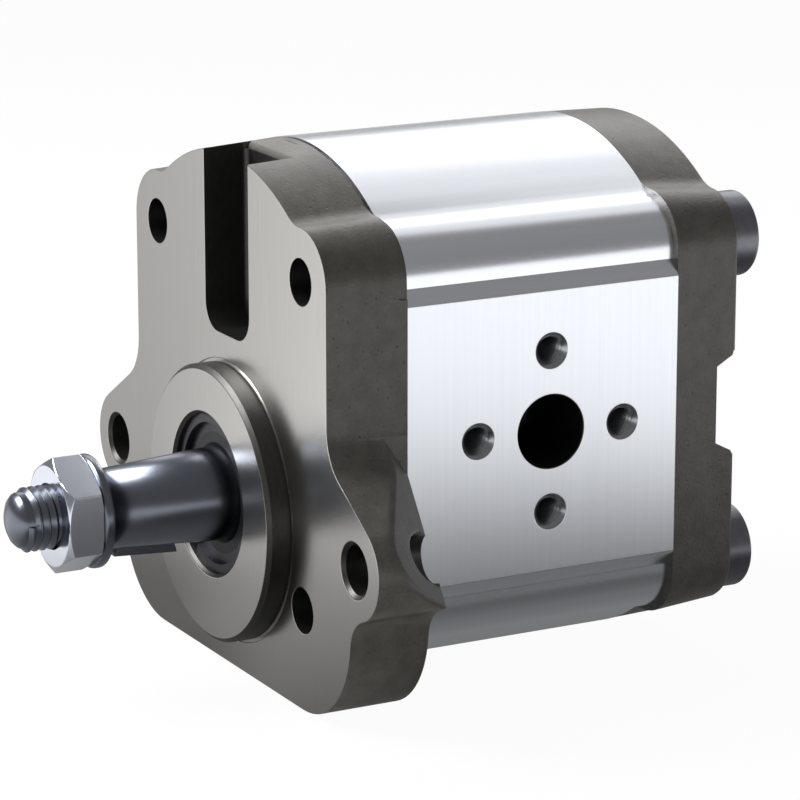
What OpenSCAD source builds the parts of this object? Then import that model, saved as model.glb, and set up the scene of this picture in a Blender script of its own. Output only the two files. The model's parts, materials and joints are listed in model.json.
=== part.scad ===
// External gear pump: cast iron covers, extruded aluminium body, two meshing gear shafts.
// Origin: centre of the pilot on the mounting face. +Y runs into the pump, the drive
// shaft points to -Y, the pressure port faces +X and +Z is up. All sizes in millimetres.

/* [Layout] */
// Height of the drive shaft above the centre of the pilot
shaft_rise = 1.8; // [0:0.1:3]
// Distance between the two gear axes
gear_centres = 30.8; // [29.5:0.1:32]
// Spacing of the four body bolts, across and up
bolt_pitch = 60.3; // [59:0.1:62]

/* [Front cover] */
// Thickness from the mounting face to the body
cover_t = 15.6; // [15:0.1:20]
// Half width of the flanks above the lugs
cover_half_w = 40; // [39:0.1:41]
// Radius of the two upper corners
cover_corner_r = 9.8; // [9:0.1:10.5]
// Radius of the hollow between the cover's crown and an upper corner
crown_fillet_r = 8; // [4:0.5:10]
// Diameter of the pilot
pilot_d = 52; // [50:0.1:56]
// Height of the pilot
pilot_h = 4.6; // [4.4:0.1:8]
// Chamfer on the rim of the pilot
pilot_chamfer = 0.8; // [0.3:0.1:1.5]
// Distance between the two lug holes
lug_span = 101; // [99:0.1:106]
// Radius of the lugs around their holes
lug_r = 9.2; // [8:0.1:10]
// Diameter of the lug holes
lug_hole_d = 9; // [6.6:0.1:10]
// Chamfer of the lug holes
lug_chamfer = 0.7; // [0.2:0.1:1]
// Thickness of the lug where its sloping back leaves the cover's flank
lug_back = 15.2; // [12:0.1:15.4]
// How far the cover's flat foot stays above the body's crown
foot_lift = 0.35; // [0:0.05:1.5]
// Width of the slot in the front face
slot_w = 18.4; // [12:0.1:24]
// Depth of the slot
slot_depth = 9; // [5:0.1:10]
// Height of the slot's floor above the drive shaft
slot_floor = 29.6; // [28:0.1:34]
// Radius of the slot's lower corners
slot_corner_r = 5; // [2:0.1:5.5]
// Width of the step that meets the port face at the joint
step_w = 2.4; // [1.2:0.1:4]
// Width of that step's flat rim
step_rim = 1.4; // [0.5:0.1:1.8]

/* [Body] */
// Length of the extruded body
body_l = 55.8; // [52:0.1:75]
// Radius of the crowned top and bottom
crown_r = 49.3; // [48:0.1:51]
// Radius of the corner columns around the bolts
corner_r = 9.1; // [8.5:0.1:9.5]
// Distance from the middle of the pump to the port faces
port_face_x = 41; // [40.4:0.1:44]
// Height of the flat port faces
port_face_h = 52.1; // [50:0.1:54]
// Height of the sloping shoulder beside a port face
shoulder_h = 2.8; // [1.5:0.1:3.5]
// Distance from the body's front end to the ports
port_from_front = 29.3; // [27:0.1:30]

/* [Ports] */
// Bore of the pressure port
pressure_bore = 13.5; // [10:0.1:18]
// Passage from the pressure port to the gear chamber
pressure_passage = 12; // [8:0.1:13]
// Circle of the pressure port's four tapped holes
pressure_circle = 30; // [28:0.1:34]
// Tapping drill of the pressure port's holes, M6
pressure_tap = 5; // [4.2:0.1:5.5]
// Bore of the inlet port
inlet_bore = 20; // [15:0.1:24]
// Passage from the inlet port to the gear chamber
inlet_passage = 18; // [12:0.1:19]
// Circle of the inlet port's four tapped holes
inlet_circle = 40; // [36:0.1:40.5]
// Tapping drill of the inlet port's holes, M8
inlet_tap = 6.8; // [5:0.1:6.9]
// Depth of both port bores, down to their passages
port_depth = 20; // [15:0.1:21]
// Depth of the tapped port holes
tap_depth = 13; // [10:0.1:15]

/* [Rear cover] */
// Thickness of the rear cover
rear_t = 13.9; // [12:0.1:20]
// Half width of the rear cover
rear_half_w = 40.2; // [39.5:0.1:41]
// Radius of the rear cover's corners
rear_corner_r = 9.8; // [9:0.1:10]
// Width of the groove across the back, at its floor
groove_w = 14.6; // [8:0.1:20]
// Depth of that groove
groove_depth = 4.4; // [2:0.1:5]
// Slope of each groove flank, measured along the back
groove_flank = 2.4; // [1:0.1:4]

/* [Body bolts] */
// Nominal size of the body bolts, M10
bolt_d = 10; // [9:0.1:10.2]
// Tapping drill for the body bolts
bolt_tap = 8.5; // [7.5:0.1:8.7]
// Diameter of the bolt heads
head_d = 16; // [14:0.1:16.6]
// Height of the bolt heads
head_h = 6.5; // [5:0.1:10]
// Depth of the spot face under a head
seat_depth = 0.8; // [0.4:0.1:1.5]
// Length of thread held in the front cover
bolt_bite = 11; // [8:0.1:14]
// Width across flats of the socket
socket_af = 7; // [5:0.1:8]
// Depth of the socket
socket_depth = 3.5; // [2:0.1:4.5]

/* [Gears] */
// Number of teeth on each gear
teeth = 12; // [10:1:14]
// Pressure angle of the teeth
pressure_angle = 25; // [22:0.5:28]
// Play between meshing flanks
backlash = 0.24; // [0.1:0.02:0.5]
// Running gap between a tooth tip and the body
tip_gap = 0.1; // [0.04:0.01:0.2]

/* [Bearing blocks] */
// Width of each bearing block
block_w = 17.3; // [15:0.1:19]
// Gap between a gear and a bearing block
side_gap = 0.05; // [0.02:0.01:0.1]
// Gap around the bearing blocks in the body
block_gap = 0.04; // [0.02:0.01:0.1]
// Wall of the bearing bushes
bush_wall = 1.5; // [1:0.1:2]
// Running gap of the shafts in their bushes
bush_gap = 0.03; // [0.02:0.01:0.08]

/* [Drive shaft] */
// Diameter of the journals
journal_d = 18; // [16:0.1:18.6]
// Large diameter of the taper, where it meets the shaft seal
taper_d = 17.6; // [15:0.1:18]
// Length that tapers by one millimetre of diameter
taper_rate = 8; // [5:1:12]
// Length of the taper
taper_l = 24.9; // [20:0.1:32]
// How far the taper's large end stands out of the mounting face
taper_start = 2.4; // [1:0.1:4]
// Thread size of the shaft end, M12
thread_d = 12; // [10:0.1:12.4]
// Length of the threaded end, dome included
thread_l = 16.8; // [14:0.1:24]
// Height of the domed end
dome_h = 1.8; // [1:0.1:3]
// Width across flats of the nut
nut_af = 19; // [17:0.1:22]
// Height of the nut
nut_h = 6.8; // [5:0.1:9]
// Outer diameter of the spring washer
washer_d = 21; // [18:0.1:24]
// Thickness of the spring washer
washer_t = 1.9; // [1.2:0.1:3]

/* [Key] */
// Width of the Woodruff key
key_w = 3; // [2:0.1:5]
// Diameter of the disc that the key is cut from
key_d = 13; // [10:0.1:16]
// Height of the key
key_h = 5; // [4:0.1:6]
// How far the key stands out of the taper at its middle
key_stand = 1.5; // [1:0.1:2.5]
// Distance from the taper's large end to the middle of the key
key_from_start = 15.3; // [10:0.1:17]

/* [Shaft seal] */
// Bore for the shaft seal
seal_bore = 30; // [29:0.1:32]
// Width of the shaft seal
seal_w = 7; // [6:0.1:8]
// Depth of the seal's outer face below the pilot's front
seal_inset = 2.5; // [2:0.1:3.5]
// Thickness of the retaining ring
circlip_t = 1.2; // [0.8:0.1:1.5]

/* [Body seals and dowels] */
// Width of the seal rings at the body's ends
ring_w = 2.4; // [1.5:0.1:3]
// Height of those rings
ring_h = 1.6; // [1:0.1:2.2]
// Distance from the gear chamber to those rings
ring_from_bore = 2.2; // [1.5:0.1:3]
// Diameter of the dowel pins
dowel_d = 6; // [4:0.1:6.4]
// Length of the dowel pins
dowel_l = 12; // [8:0.1:14]
// Height between a body bolt and the dowel pin beside it
dowel_from_bolt = 17.2; // [15:0.1:20]

/* [Hidden] */
$fn = 96;

// Clearances
fit_gap = 0.01;
thread_gap = 0.05;
hole_gap = 0.25;
shaft_end_gap = 0.4;
overlap = 0.02;
cut = 1;

// Heights of the axes and the middle of the body
drive_z = shaft_rise;
driven_z = shaft_rise + gear_centres;
mid_z = (drive_z + driven_z) / 2;
bolt_x = bolt_pitch / 2;
bolt_zs = [mid_z - bolt_pitch / 2, mid_z + bolt_pitch / 2];
bolt_hole_r = bolt_d / 2 + hole_gap;
lug_x = lug_span / 2;

// The covers' crowns stay just below the body's
crown_reach = 3;
front_crown_r = crown_r - 0.3;
rear_crown_r = crown_r - 0.1;

// Stations along the pump
pilot_y = -pilot_h;
joint_1 = cover_t;
joint_2 = joint_1 + body_l;
back_y = joint_2 + rear_t;
seat_y = back_y - seat_depth;
bolt_tip_y = joint_1 - bolt_bite;
port_y = joint_1 + port_from_front;
gear_y0 = joint_1 + block_w + side_gap;
gear_y1 = joint_2 - block_w - side_gap;
seal_y0 = pilot_y + seal_inset;
seal_y1 = seal_y0 + seal_w;

// Gear tooth sizes
gear_module = gear_centres / teeth;
pitch_r = gear_centres / 2;
base_r = pitch_r * cos(pressure_angle);
tip_r = pitch_r + 0.97 * gear_module;
root_r = gear_centres - tip_r - 0.2 * gear_module;
chamber_r = tip_r + tip_gap;
flank_steps = 8;

// Bearing block sizes
block_r = chamber_r - block_gap;
bush_r = journal_d / 2 + bush_gap;
bush_outer_r = bush_r + bush_wall;
thrust_from_bush = 2.4;
thrust_w = 1.8;
backup_w = 0.9;
thrust_in_r = bush_outer_r + thrust_from_bush;
thrust_out_r = thrust_in_r + thrust_w;
backup_in_r = thrust_out_r + fit_gap;
backup_out_r = thrust_out_r + backup_w;
thrust_neck = 4.5;
thrust_h = 2.2;
bush_recess = 0.3;
pocket_depth = 1.5;
pocket_w = 4;
pocket_x = 0.45 * pitch_r;

// Body end seal rings
ring_in_r = chamber_r + ring_from_bore;
ring_out_r = ring_in_r + ring_w;

// Dowel pins stand on one diagonal of the body, a little outside the bolts
dowel_out = 0.8;
dowel_room = 0.5;
dowel_x = bolt_x + dowel_out;
dowel_z = bolt_x - dowel_from_bolt;
dowel_places = [[dowel_x, mid_z + dowel_z], [-dowel_x, mid_z - dowel_z]];
dowel_hole_r = dowel_d / 2 + fit_gap;
dowel_reach = dowel_l / 2 + dowel_room;

// Drive shaft stations
taper_y1 = -taper_start;
taper_y0 = taper_y1 - taper_l;
taper_small_r = (taper_d - taper_l / taper_rate) / 2;
shaft_end_y = taper_y0 - thread_l;
washer_y0 = taper_y0 - washer_t;
nut_y0 = washer_y0 - nut_h;
washer_in_r = thread_d / 2 + 0.3;
key_y = taper_y1 - key_from_start;
key_mid_r = taper_d / 2 - key_from_start / taper_rate / 2;
key_top_r = key_mid_r + key_stand;
shaft_clear = 0.8;
shaft_bore_r = journal_d / 2 + shaft_clear;
shaft_pocket = 2;

// Shaft seal sizes
seal_r = seal_bore / 2;
seal_mouth = 0.5;
case_t = 1.1;
lip_gap = 0.05;
lip_r = taper_d / 2 + lip_gap;
lip_out_r = seal_r - 3.6;
spring_y = seal_y0 + 5;
clip_groove = 0.7;
clip_w = 1.7;
clip_in_r = seal_r - clip_w;
clip_y1 = seal_y0;
clip_y0 = seal_y0 - circlip_t;

iron_cast = "#4A4846";
iron_machined = "#A3A19E";
alu = "#C3C7D0";
steel = "#7E8290";
black_steel = "#47474B";
rubber = "#1E1E20";
bronze = "#A88A5A";
white_plastic = "#D8D4C8";

// Flat shape in X and Z, drawn out along Y
module slab(y0, y1) {
    translate([0, y1, 0]) rotate([90, 0, 0]) linear_extrude(y1 - y0) children();
}

// Round bar along Y
module rod(x, z, r, y0, y1) {
    translate([x, y1, z]) rotate([90, 0, 0]) cylinder(r = r, h = y1 - y0);
}

// Profile of [radius, y] points turned about an axis along Y
module turned(x, z, points) {
    translate([x, 0, z]) rotate([-90, 0, 0]) rotate_extrude() polygon(points);
}

// Countersink cone that opens towards -Y
module countersink(x, z, r, depth, y) {
    turned(x, z, [[0, y - cut], [r + depth + cut, y - cut], [r, y + depth], [0, y + depth]]);
}

// Both sides, left and right
module both_sides() {
    children();
    mirror([1, 0, 0]) children();
}

module at_bolts() {
    for (x = [-bolt_x, bolt_x], z = bolt_zs) translate([x, z]) children();
}

// Two circles on the gear axes with a neck between them
module loop(r, neck) {
    for (z = [drive_z, driven_z]) translate([0, z]) circle(r);
    translate([-neck, drive_z]) square([2 * neck, gear_centres]);
}

module loop_ring(r_in, neck_in, r_out, neck_out) {
    difference() {
        loop(r_out, neck_out);
        loop(r_in, neck_in);
    }
}

// Seal ring around both gears, smaller than its groove by gap
module body_ring(gap) {
    loop_ring(ring_in_r + gap, ring_in_r + gap, ring_out_r - gap, ring_out_r - gap);
}

// Crowned middle of the outline, cut off within the bolt columns
module crown(r) {
    half = bolt_x + crown_reach;
    intersection() {
        translate([0, mid_z]) circle(r);
        translate([-half, mid_z - r]) square([2 * half, 2 * r]);
    }
}

// Hollow of radius r that touches two circles, on the left of the way from c1 to c2. Its fill
// starts deep inside them. Here and below, overlap makes touching curves cross by a hair, which
// keeps their edges clean
module circle_fillet(c1, r1, c2, r2, r) {
    depth = 8;
    d = norm(c2 - c1);
    a = r1 + r;
    b = r2 + r;
    u = (a * a - b * b + d * d) / (2 * d);
    h = sqrt(a * a - u * u);
    along = (c2 - c1) / d;
    c = c1 + u * along + h * [-along[1], along[0]];
    difference() {
        polygon([c1 + (r1 - depth) / a * (c - c1), c, c2 + (r2 - depth) / b * (c - c2)]);
        translate(c) circle(r + overlap);
    }
}

// Rounded fill in a concave corner p, whose edges leave at angles a1 and a2
module corner_fillet(p, a1, a2, r) {
    half = (a2 - a1) / 2;
    reach = r / tan(half);
    out = [cos(a1 + half), sin(a1 + half)];
    c = p + r / sin(half) * out;
    difference() {
        polygon([p - out, p + reach * [cos(a1), sin(a1)], c, p + reach * [cos(a2), sin(a2)]]);
        translate(c) circle(r + overlap);
    }
}

// Front cover
lug_slope = 31.6;
shoulder_r = 10;
foot_fillet_r = 7;
foot_z = bolt_zs[0];
foot_r = crown_r - bolt_x - foot_lift;
lug_touch = [lug_x, 0] + (lug_r - overlap) * [sin(lug_slope), cos(lug_slope)];
lug_top_z = lug_touch[1] + (lug_touch[0] - cover_half_w) * tan(lug_slope);
step_tuck = 2;

module cover_outline() {
    corner = [cover_half_w - cover_corner_r, bolt_zs[1]];
    intersection() {
        crown(front_crown_r);
        translate([-bolt_pitch, mid_z]) square([2 * bolt_pitch, 2 * crown_r]);
    }
    translate([-cover_half_w, drive_z]) square([2 * cover_half_w, bolt_zs[1] - drive_z]);
    translate([-bolt_x, foot_z - foot_r]) square([bolt_pitch, foot_r + drive_z - foot_z + cut]);
    both_sides() {
        translate(corner) circle(cover_corner_r);
        circle_fillet([0, mid_z], front_crown_r, corner, cover_corner_r, crown_fillet_r);
        translate([bolt_x, foot_z]) circle(foot_r);
        translate([lug_x, 0]) circle(lug_r);
        polygon([lug_touch, [cover_half_w, lug_top_z], [0, lug_top_z], [0, foot_z], [bolt_x, foot_z],
            [lug_x, 0]]);
        corner_fillet([cover_half_w, lug_top_z], -lug_slope, 90, shoulder_r);
        circle_fillet([lug_x, 0], lug_r, [bolt_x, foot_z], foot_r, foot_fillet_r);
    }
}

module slot_outline() {
    z = drive_z + slot_floor;
    x = slot_w / 2 - slot_corner_r;
    translate([-slot_w / 2, z + slot_corner_r]) square([slot_w, crown_r]);
    translate([-x, z]) square([2 * x, slot_corner_r + cut]);
    both_sides() translate([x, z + slot_corner_r]) circle(slot_corner_r);
}

// Block that cuts the sloping back of the right lug
module lug_back_cut() {
    slope_up = 0.7;
    big = 60;
    intersection() {
        translate([lug_x, lug_back, 0])
            rotate([0, -atan(slope_up / sqrt(2)), 45])
                translate([0, -big, -big]) cube([big, 2 * big, 2 * big]);
        translate([cover_half_w, -cut, foot_z]) cube([big, cover_t + 2 * cut, mid_z + shoulder_r - foot_z]);
    }
}

// Step that carries the port face's outline onto the cover
module port_step() {
    z = lug_top_z - step_tuck;
    root_x = cover_half_w - step_tuck;
    translate([0, 0, z]) linear_extrude(mid_z + port_face_h / 2 - z)
        polygon([[root_x, joint_1 - step_w - step_tuck], [cover_half_w, joint_1 - step_w],
            [port_face_x, joint_1 - step_rim], [port_face_x, joint_1], [root_x, joint_1]]);
}

module front_cover() {
    color(iron_cast) difference() {
        union() {
            difference() {
                slab(0, joint_1) cover_outline();
                both_sides() lug_back_cut();
            }
            turned(0, 0, [[0, pilot_y], [pilot_d / 2 - pilot_chamfer, pilot_y],
                [pilot_d / 2, pilot_y + pilot_chamfer], [pilot_d / 2, cut], [0, cut]]);
            both_sides() port_step();
        }
        slab(-cut, slot_depth) slot_outline();
        both_sides() {
            rod(lug_x, 0, lug_hole_d / 2, -cut, cover_t + cut);
            countersink(lug_x, 0, lug_hole_d / 2, lug_chamfer, 0);
        }
        for (x = [-bolt_x, bolt_x], z = bolt_zs) rod(x, z, bolt_tap / 2, -cut, joint_1 + cut);
        rod(0, drive_z, seal_r, pilot_y - cut, seal_y1 + fit_gap);
        countersink(0, drive_z, seal_r, seal_mouth, pilot_y);
        rod(0, drive_z, seal_r + clip_groove, clip_y0 - fit_gap, clip_y1);
        rod(0, drive_z, shaft_bore_r, 0, joint_1 + cut);
        rod(0, driven_z, shaft_bore_r, joint_1 - shaft_pocket, joint_1 + cut);
        slab(joint_1 - ring_h - fit_gap, joint_1 + cut) body_ring(0);
        for (p = dowel_places) rod(p[0], p[1], dowel_hole_r, joint_1 - dowel_reach, joint_1 + cut);
    }
}

// Extruded body
module body_outline() {
    half = port_face_h / 2;
    x = bolt_x + corner_r;
    right = [[x, -bolt_x], [x, -half - shoulder_h], [port_face_x, -half],
        [port_face_x, half], [x, half + shoulder_h], [x, bolt_x]];
    crown(crown_r);
    at_bolts() circle(corner_r);
    translate([0, mid_z])
        polygon(concat(right, [for (i = [len(right) - 1 : -1 : 0]) [-right[i][0], right[i][1]]]));
}

// Port bore with its four tapped holes, on the right (side = 1) or the left (side = -1)
module port_holes(side, bore, passage, circle_d, tap) {
    translate([0, port_y, mid_z]) rotate([0, side * 90, 0]) {
        cylinder(r = passage / 2, h = port_face_x);
        translate([0, 0, port_face_x - port_depth]) cylinder(r = bore / 2, h = port_depth + cut);
        for (a = [0 : 90 : 270]) rotate([0, 0, a]) translate([circle_d / 2, 0, port_face_x - tap_depth])
            cylinder(r = tap / 2, h = tap_depth + cut);
    }
}

module pump_body() {
    color(alu) difference() {
        slab(joint_1, joint_2) body_outline();
        for (z = [drive_z, driven_z]) rod(0, z, chamber_r, joint_1 - cut, joint_2 + cut);
        for (x = [-bolt_x, bolt_x], z = bolt_zs) rod(x, z, bolt_hole_r, joint_1 - cut, joint_2 + cut);
        for (p = dowel_places) {
            rod(p[0], p[1], dowel_hole_r, joint_1 - cut, joint_1 + dowel_reach);
            rod(p[0], p[1], dowel_hole_r, joint_2 - dowel_reach, joint_2 + cut);
        }
        port_holes(1, pressure_bore, pressure_passage, pressure_circle, pressure_tap);
        port_holes(-1, inlet_bore, inlet_passage, inlet_circle, inlet_tap);
    }
}

// Rear cover
module rear_outline() {
    x = rear_half_w - rear_corner_r;
    crown(rear_crown_r);
    translate([-rear_half_w, bolt_zs[0]]) square([2 * rear_half_w, bolt_pitch]);
    for (side = [-1, 1], z = bolt_zs) translate([side * x, z]) circle(rear_corner_r);
}

module rear_groove() {
    half = groove_w / 2;
    y = back_y - groove_depth;
    slope = groove_flank / groove_depth * cut;
    rise = 0.3;
    translate([-2 * rear_half_w, 0, mid_z + rise]) rotate([90, 0, 90]) linear_extrude(4 * rear_half_w)
        polygon([[y, -half], [back_y + cut, -half - groove_flank - slope],
            [back_y + cut, half + groove_flank + slope], [y, half]]);
}

module rear_cover() {
    color(iron_cast) difference() {
        slab(joint_2, back_y) rear_outline();
        rear_groove();
        for (x = [-bolt_x, bolt_x], z = bolt_zs) {
            rod(x, z, bolt_hole_r, joint_2 - cut, back_y + cut);
            rod(x, z, head_d / 2 + hole_gap, seat_y, back_y + cut);
        }
        for (z = [drive_z, driven_z]) rod(0, z, shaft_bore_r, joint_2 - cut, joint_2 + shaft_pocket);
        slab(joint_2 - cut, joint_2 + ring_h + fit_gap) body_ring(0);
        for (p = dowel_places) rod(p[0], p[1], dowel_hole_r, joint_2 - cut, joint_2 + dowel_reach);
    }
}

// Four body bolts with low cylinder heads
module body_bolt() {
    head_r = head_d / 2;
    edge = 0.5;
    top_y = seat_y + head_h;
    difference() {
        union() {
            rod(0, 0, bolt_tap / 2 - thread_gap, bolt_tip_y, joint_1 + cut);
            rod(0, 0, bolt_d / 2, joint_1 + shaft_end_gap, seat_y + cut);
            turned(0, 0, [[0, seat_y], [head_r, seat_y], [head_r, top_y - edge],
                [head_r - edge, top_y], [0, top_y]]);
        }
        slab(top_y - socket_depth, top_y + cut) circle(r = socket_af / sqrt(3), $fn = 6);
    }
}

module body_bolts() {
    color(black_steel) for (x = [-bolt_x, bolt_x], z = bolt_zs) translate([x, 0, z]) body_bolt();
}

module dowel_pins(joint) {
    half = dowel_l / 2;
    color(steel) for (p = dowel_places) rod(p[0], p[1], dowel_d / 2, joint - half, joint + half);
}

// Seal rings at the two ends of the body
module body_seal(y0) {
    color(rubber) slab(y0, y0 + ring_h) body_ring(fit_gap);
}

// Bearing block: outer_y is its face on the cover, dir the way to the gears
module bearing_block(outer_y, dir) {
    y = function (from, to) [min(outer_y + dir * from, outer_y + dir * to),
        max(outer_y + dir * from, outer_y + dir * to)];
    span = y(0, block_w);
    groove = y(-cut, thrust_h + fit_gap);
    pocket = y(block_w - pocket_depth, block_w + cut);
    color(alu) difference() {
        slab(span[0], span[1]) for (z = [drive_z, driven_z]) translate([0, z]) circle(block_r);
        for (z = [drive_z, driven_z])
            rod(0, z, bush_outer_r + fit_gap, span[0] - cut, span[1] + cut);
        slab(groove[0], groove[1]) loop_ring(thrust_in_r - fit_gap, thrust_neck - fit_gap,
            backup_out_r + fit_gap, thrust_neck + backup_out_r - thrust_in_r + fit_gap);
        slab(pocket[0], pocket[1]) for (side = [-1, 1]) translate([side * pocket_x, mid_z])
            square([pocket_w, 2 * gear_module], center = true);
    }
}

module bush(z, outer_y, dir) {
    a = outer_y + dir * bush_recess;
    b = outer_y + dir * (block_w - bush_recess);
    color(bronze) difference() {
        rod(0, z, bush_outer_r, min(a, b), max(a, b));
        rod(0, z, bush_r, min(a, b) - cut, max(a, b) + cut);
    }
}

module thrust_seal(y0) {
    neck = thrust_neck + thrust_out_r - thrust_in_r;
    color(rubber) slab(y0, y0 + thrust_h) loop_ring(thrust_in_r, thrust_neck, thrust_out_r, neck);
}

module backup_ring(y0) {
    neck = thrust_neck + backup_in_r - thrust_in_r;
    color(white_plastic) slab(y0, y0 + thrust_h)
        loop_ring(backup_in_r, neck, backup_out_r, neck + backup_out_r - backup_in_r);
}

// Shaft seal: steel case, rubber lip with a dust lip, garter spring, retaining ring
module shaft_seal_case() {
    color(black_steel) turned(0, drive_z, [[lip_out_r, seal_y0], [seal_r - fit_gap, seal_y0],
        [seal_r - fit_gap, seal_y1], [seal_r - case_t, seal_y1],
        [seal_r - case_t, seal_y0 + case_t], [lip_out_r, seal_y0 + case_t]]);
}

module shaft_seal_lip() {
    r = lip_out_r - fit_gap;
    waist = 1.2;
    relief = 0.6;
    dust_y = seal_y0 + 0.4;
    neck_y = seal_y0 + 2.2;
    edge_y = spring_y - 0.4;
    end_y = seal_y1 - 0.8;
    color(rubber) turned(0, drive_z, [[r, seal_y0], [r, seal_y0 + case_t], [r - waist, neck_y],
        [r - waist, edge_y], [r - relief, end_y], [lip_r + relief, end_y], [lip_r, edge_y],
        [lip_r + relief, neck_y], [lip_r, dust_y], [lip_r + relief, seal_y0]]);
}

module garter_spring() {
    wire_r = 0.55;
    color(steel) translate([0, spring_y, drive_z]) rotate([-90, 0, 0]) rotate_extrude()
        translate([lip_out_r - wire_r + 0.15, 0]) circle(wire_r, $fn = 24);
}

module seal_retaining_ring() {
    open_angle = 30;
    reach = 2 * seal_r;
    color(black_steel) slab(clip_y0, clip_y1 - fit_gap) translate([0, drive_z]) difference() {
        circle(seal_r + clip_groove - fit_gap);
        circle(clip_in_r);
        rotate(225) polygon([[0, 0], reach * [cos(open_angle / 2), sin(open_angle / 2)],
            reach * [cos(open_angle / 2), -sin(open_angle / 2)]]);
    }
}

// Involute tooth flanks. inv is the involute function in degrees
function inv(a) = tan(a) * 180 / PI - a;
function half_angle(r) = 90 / teeth - backlash / 4 / pitch_r * 180 / PI
    + inv(pressure_angle) - inv(acos(min(1, base_r / r)));
function flank_r(i) = let (from = max(base_r, root_r + 0.1)) from + (tip_r - from) * i / flank_steps;
function polar(r, a) = [r * cos(a), r * sin(a)];
function tooth(a) = concat(
    [polar(root_r, a - 180 / teeth), polar(root_r, a - half_angle(flank_r(0)))],
    [for (i = [0 : flank_steps]) polar(flank_r(i), a - half_angle(flank_r(i)))],
    [polar(tip_r, a)],
    [for (i = [flank_steps : -1 : 0]) polar(flank_r(i), a + half_angle(flank_r(i)))],
    [polar(root_r, a + half_angle(flank_r(0)))]);

module gear(z, turn) {
    slab(gear_y0, gear_y1) translate([0, z]) rotate(turn)
        polygon([for (i = [0 : teeth - 1]) each tooth(i * 360 / teeth)]);
}

// Middle of the key's outer edge, which runs parallel to the taper
module at_key() {
    translate([0, key_y, drive_z - key_top_r]) rotate([-atan(1 / (2 * taper_rate)), 0, 0]) children();
}

module key_disc(gap) {
    translate([-key_w / 2 - gap, 0, key_h - key_d / 2]) rotate([0, 90, 0])
        cylinder(r = key_d / 2 + gap, h = key_w + 2 * gap);
}

module drive_gear_shaft() {
    journal_r = journal_d / 2;
    thread_r = thread_d / 2;
    dome_flat = 0.5 * thread_r;
    dome_mid_r = 0.85 * thread_r;
    shaft_y1 = joint_2 - shaft_end_gap;
    color(steel) difference() {
        union() {
            turned(0, drive_z, [[0, shaft_end_y], [dome_flat, shaft_end_y],
                [dome_mid_r, shaft_end_y + dome_h / 2], [thread_r, shaft_end_y + dome_h],
                [thread_r, taper_y0], [taper_small_r, taper_y0], [taper_d / 2, taper_y1],
                [taper_d / 2, joint_1 - shaft_end_gap], [journal_r, joint_1], [journal_r, shaft_y1],
                [0, shaft_y1]]);
            gear(drive_z, 90);
        }
        at_key() key_disc(fit_gap);
    }
}

module driven_gear_shaft() {
    color(steel) union() {
        rod(0, driven_z, journal_d / 2, joint_1 + shaft_end_gap, joint_2 - shaft_end_gap);
        gear(driven_z, 90 + 180 / teeth);
    }
}

module woodruff_key() {
    color(steel) at_key() intersection() {
        key_disc(0);
        translate([-key_w, -key_d, 0]) cube([2 * key_w, 2 * key_d, key_h]);
    }
}

module shaft_nut() {
    corner_r = nut_af / sqrt(3);
    flat_r = nut_af / 2;
    outside = corner_r + 0.1;
    front_bevel = 0.7 * (corner_r - flat_r);
    back_bevel = front_bevel / 2;
    color(steel) difference() {
        intersection() {
            translate([0, 0, drive_z]) slab(nut_y0, washer_y0) rotate(30) circle(corner_r, $fn = 6);
            turned(0, drive_z, [[0, nut_y0], [flat_r - 0.2, nut_y0], [outside, nut_y0 + front_bevel],
                [outside, washer_y0 - back_bevel], [flat_r + 0.3, washer_y0], [0, washer_y0]]);
        }
        rod(0, drive_z, thread_d / 2 + thread_gap, nut_y0 - cut, washer_y0 + cut);
    }
}

module spring_washer() {
    slit = 1.6;
    color(steel) slab(washer_y0 + fit_gap, taper_y0 - fit_gap) difference() {
        translate([0, drive_z]) circle(washer_d / 2);
        translate([0, drive_z]) circle(washer_in_r);
        translate([-washer_d, drive_z - slit / 2]) square([washer_d, slit]);
    }
}

front_cover();
pump_body();
rear_cover();
body_bolts();
dowel_pins(joint_1);  // front_dowel_pins
dowel_pins(joint_2);  // rear_dowel_pins
body_seal(joint_1 - ring_h);  // front_body_seal
body_seal(joint_2);  // rear_body_seal
bearing_block(joint_1, 1);  // front_bearing_block
bearing_block(joint_2, -1);  // rear_bearing_block
bush(drive_z, joint_1, 1);  // drive_front_bush
bush(driven_z, joint_1, 1);  // driven_front_bush
bush(drive_z, joint_2, -1);  // drive_rear_bush
bush(driven_z, joint_2, -1);  // driven_rear_bush
thrust_seal(joint_1);  // front_thrust_seal
thrust_seal(joint_2 - thrust_h);  // rear_thrust_seal
backup_ring(joint_1);  // front_backup_ring
backup_ring(joint_2 - thrust_h);  // rear_backup_ring
shaft_seal_case();
shaft_seal_lip();
garter_spring();
seal_retaining_ring();
drive_gear_shaft();
driven_gear_shaft();
woodruff_key();
shaft_nut();
spring_washer();
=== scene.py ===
"""Looks of a hydraulic gear pump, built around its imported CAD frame."""

import json
import math

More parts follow.
